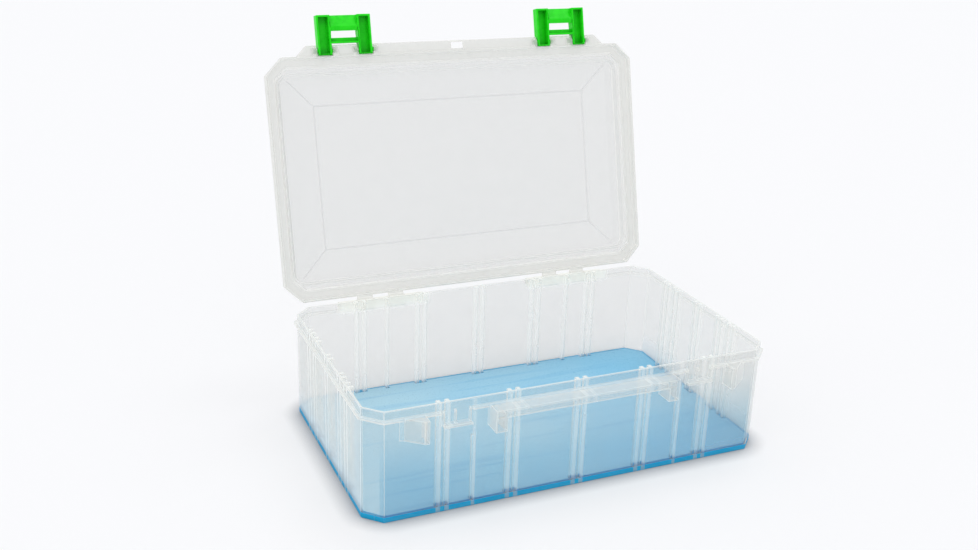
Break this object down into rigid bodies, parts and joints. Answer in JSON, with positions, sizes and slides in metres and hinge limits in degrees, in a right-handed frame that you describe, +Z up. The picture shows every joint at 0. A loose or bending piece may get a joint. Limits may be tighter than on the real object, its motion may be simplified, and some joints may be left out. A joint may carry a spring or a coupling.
{
  "type": "fishing tackle box",
  "caption": "Open hinged tackle box of frosted clear plastic with green snap latches, a moulded front handle, divider channels and a blue gel floor liner.",
  "frame": {"origin": "centre of the tray's underside, on the surface the box stands on", "axes": "+X along the length, -Y the front with the handle and latches, +Z up"},
  "size_m": [0.3552, 0.3019, 0.3319],
  "materials": {
    "frosted_plastic": "frosted translucent polypropylene",
    "green_plastic": "glossy moulded bright green",
    "blue_gel": "soft translucent blue gel",
    "pin_plastic": "natural polypropylene rod"
  },
  "bodies": {
    "tray": {"tray": "frosted_plastic", "gel_liner": "blue_gel", "hinge_pin_left": "pin_plastic", "hinge_pin_right": "pin_plastic"},
    "lid": {"lid": "frosted_plastic"},
    "latch_left": {"latch_left": "green_plastic"},
    "latch_right": {"latch_right": "green_plastic"}
  },
  "joints": [
    {"name": "lid_hinge", "type": "hinge", "parent": "tray", "child": "lid", "pos_m": [0, 0.1122, 0.0869], "axis": [1, 0, 0], "range_deg": [0, 104.4]},
    {"name": "latch_left_pivot", "type": "hinge", "parent": "lid", "child": "latch_left", "pos_m": [-0.1052, 0.17075, 0.30169], "axis": [1, 0, 0], "range_deg": [0, 90]},
    {"name": "latch_right_pivot", "type": "hinge", "parent": "lid", "child": "latch_right", "pos_m": [0.1052, 0.17075, 0.30169], "axis": [1, 0, 0], "range_deg": [0, 90]}
  ]
}
